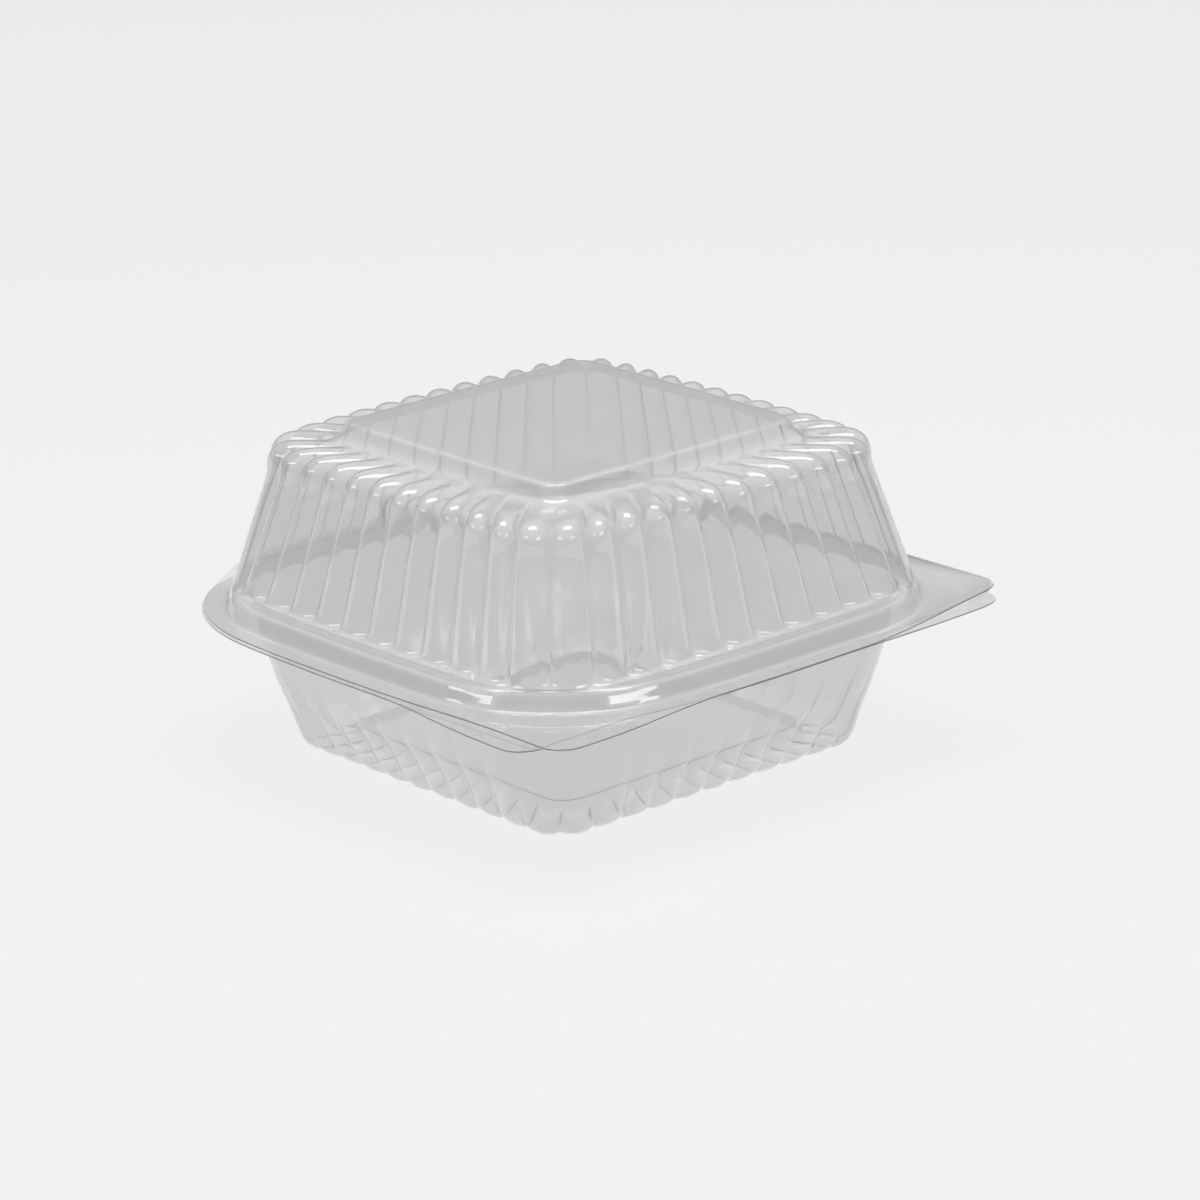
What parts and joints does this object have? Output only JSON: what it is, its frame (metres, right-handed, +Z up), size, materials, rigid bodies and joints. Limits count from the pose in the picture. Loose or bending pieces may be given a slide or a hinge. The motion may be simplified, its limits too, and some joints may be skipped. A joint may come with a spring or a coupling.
{
  "type": "hinged plastic clamshell pack",
  "caption": "Clear square clamshell pack: fluted tray and fluted lid of thin formed sheet, joined by a living hinge, with finger tabs at one corner.",
  "frame": {"origin": "on the table under the middle of the closed pack's outline", "axes": "+Z up, +Y towards the hinge, -Y towards the opening side, +X the side to the right of the opening side"},
  "size_m": [0.1546, 0.1514, 0.0795],
  "materials": {
    "clear_sheet": "clear glossy thermoformed sheet"
  },
  "bodies": {
    "tray": {"tray": "clear_sheet", "living_hinge": "clear_sheet"},
    "lid": {"lid": "clear_sheet"}
  },
  "joints": [
    {"name": "lid_hinge", "type": "hinge", "parent": "tray", "child": "lid", "pos_m": [-0.0016, 0.07495, 0.03685], "axis": [-1, 0, 0], "range_deg": [0, 172]}
  ]
}
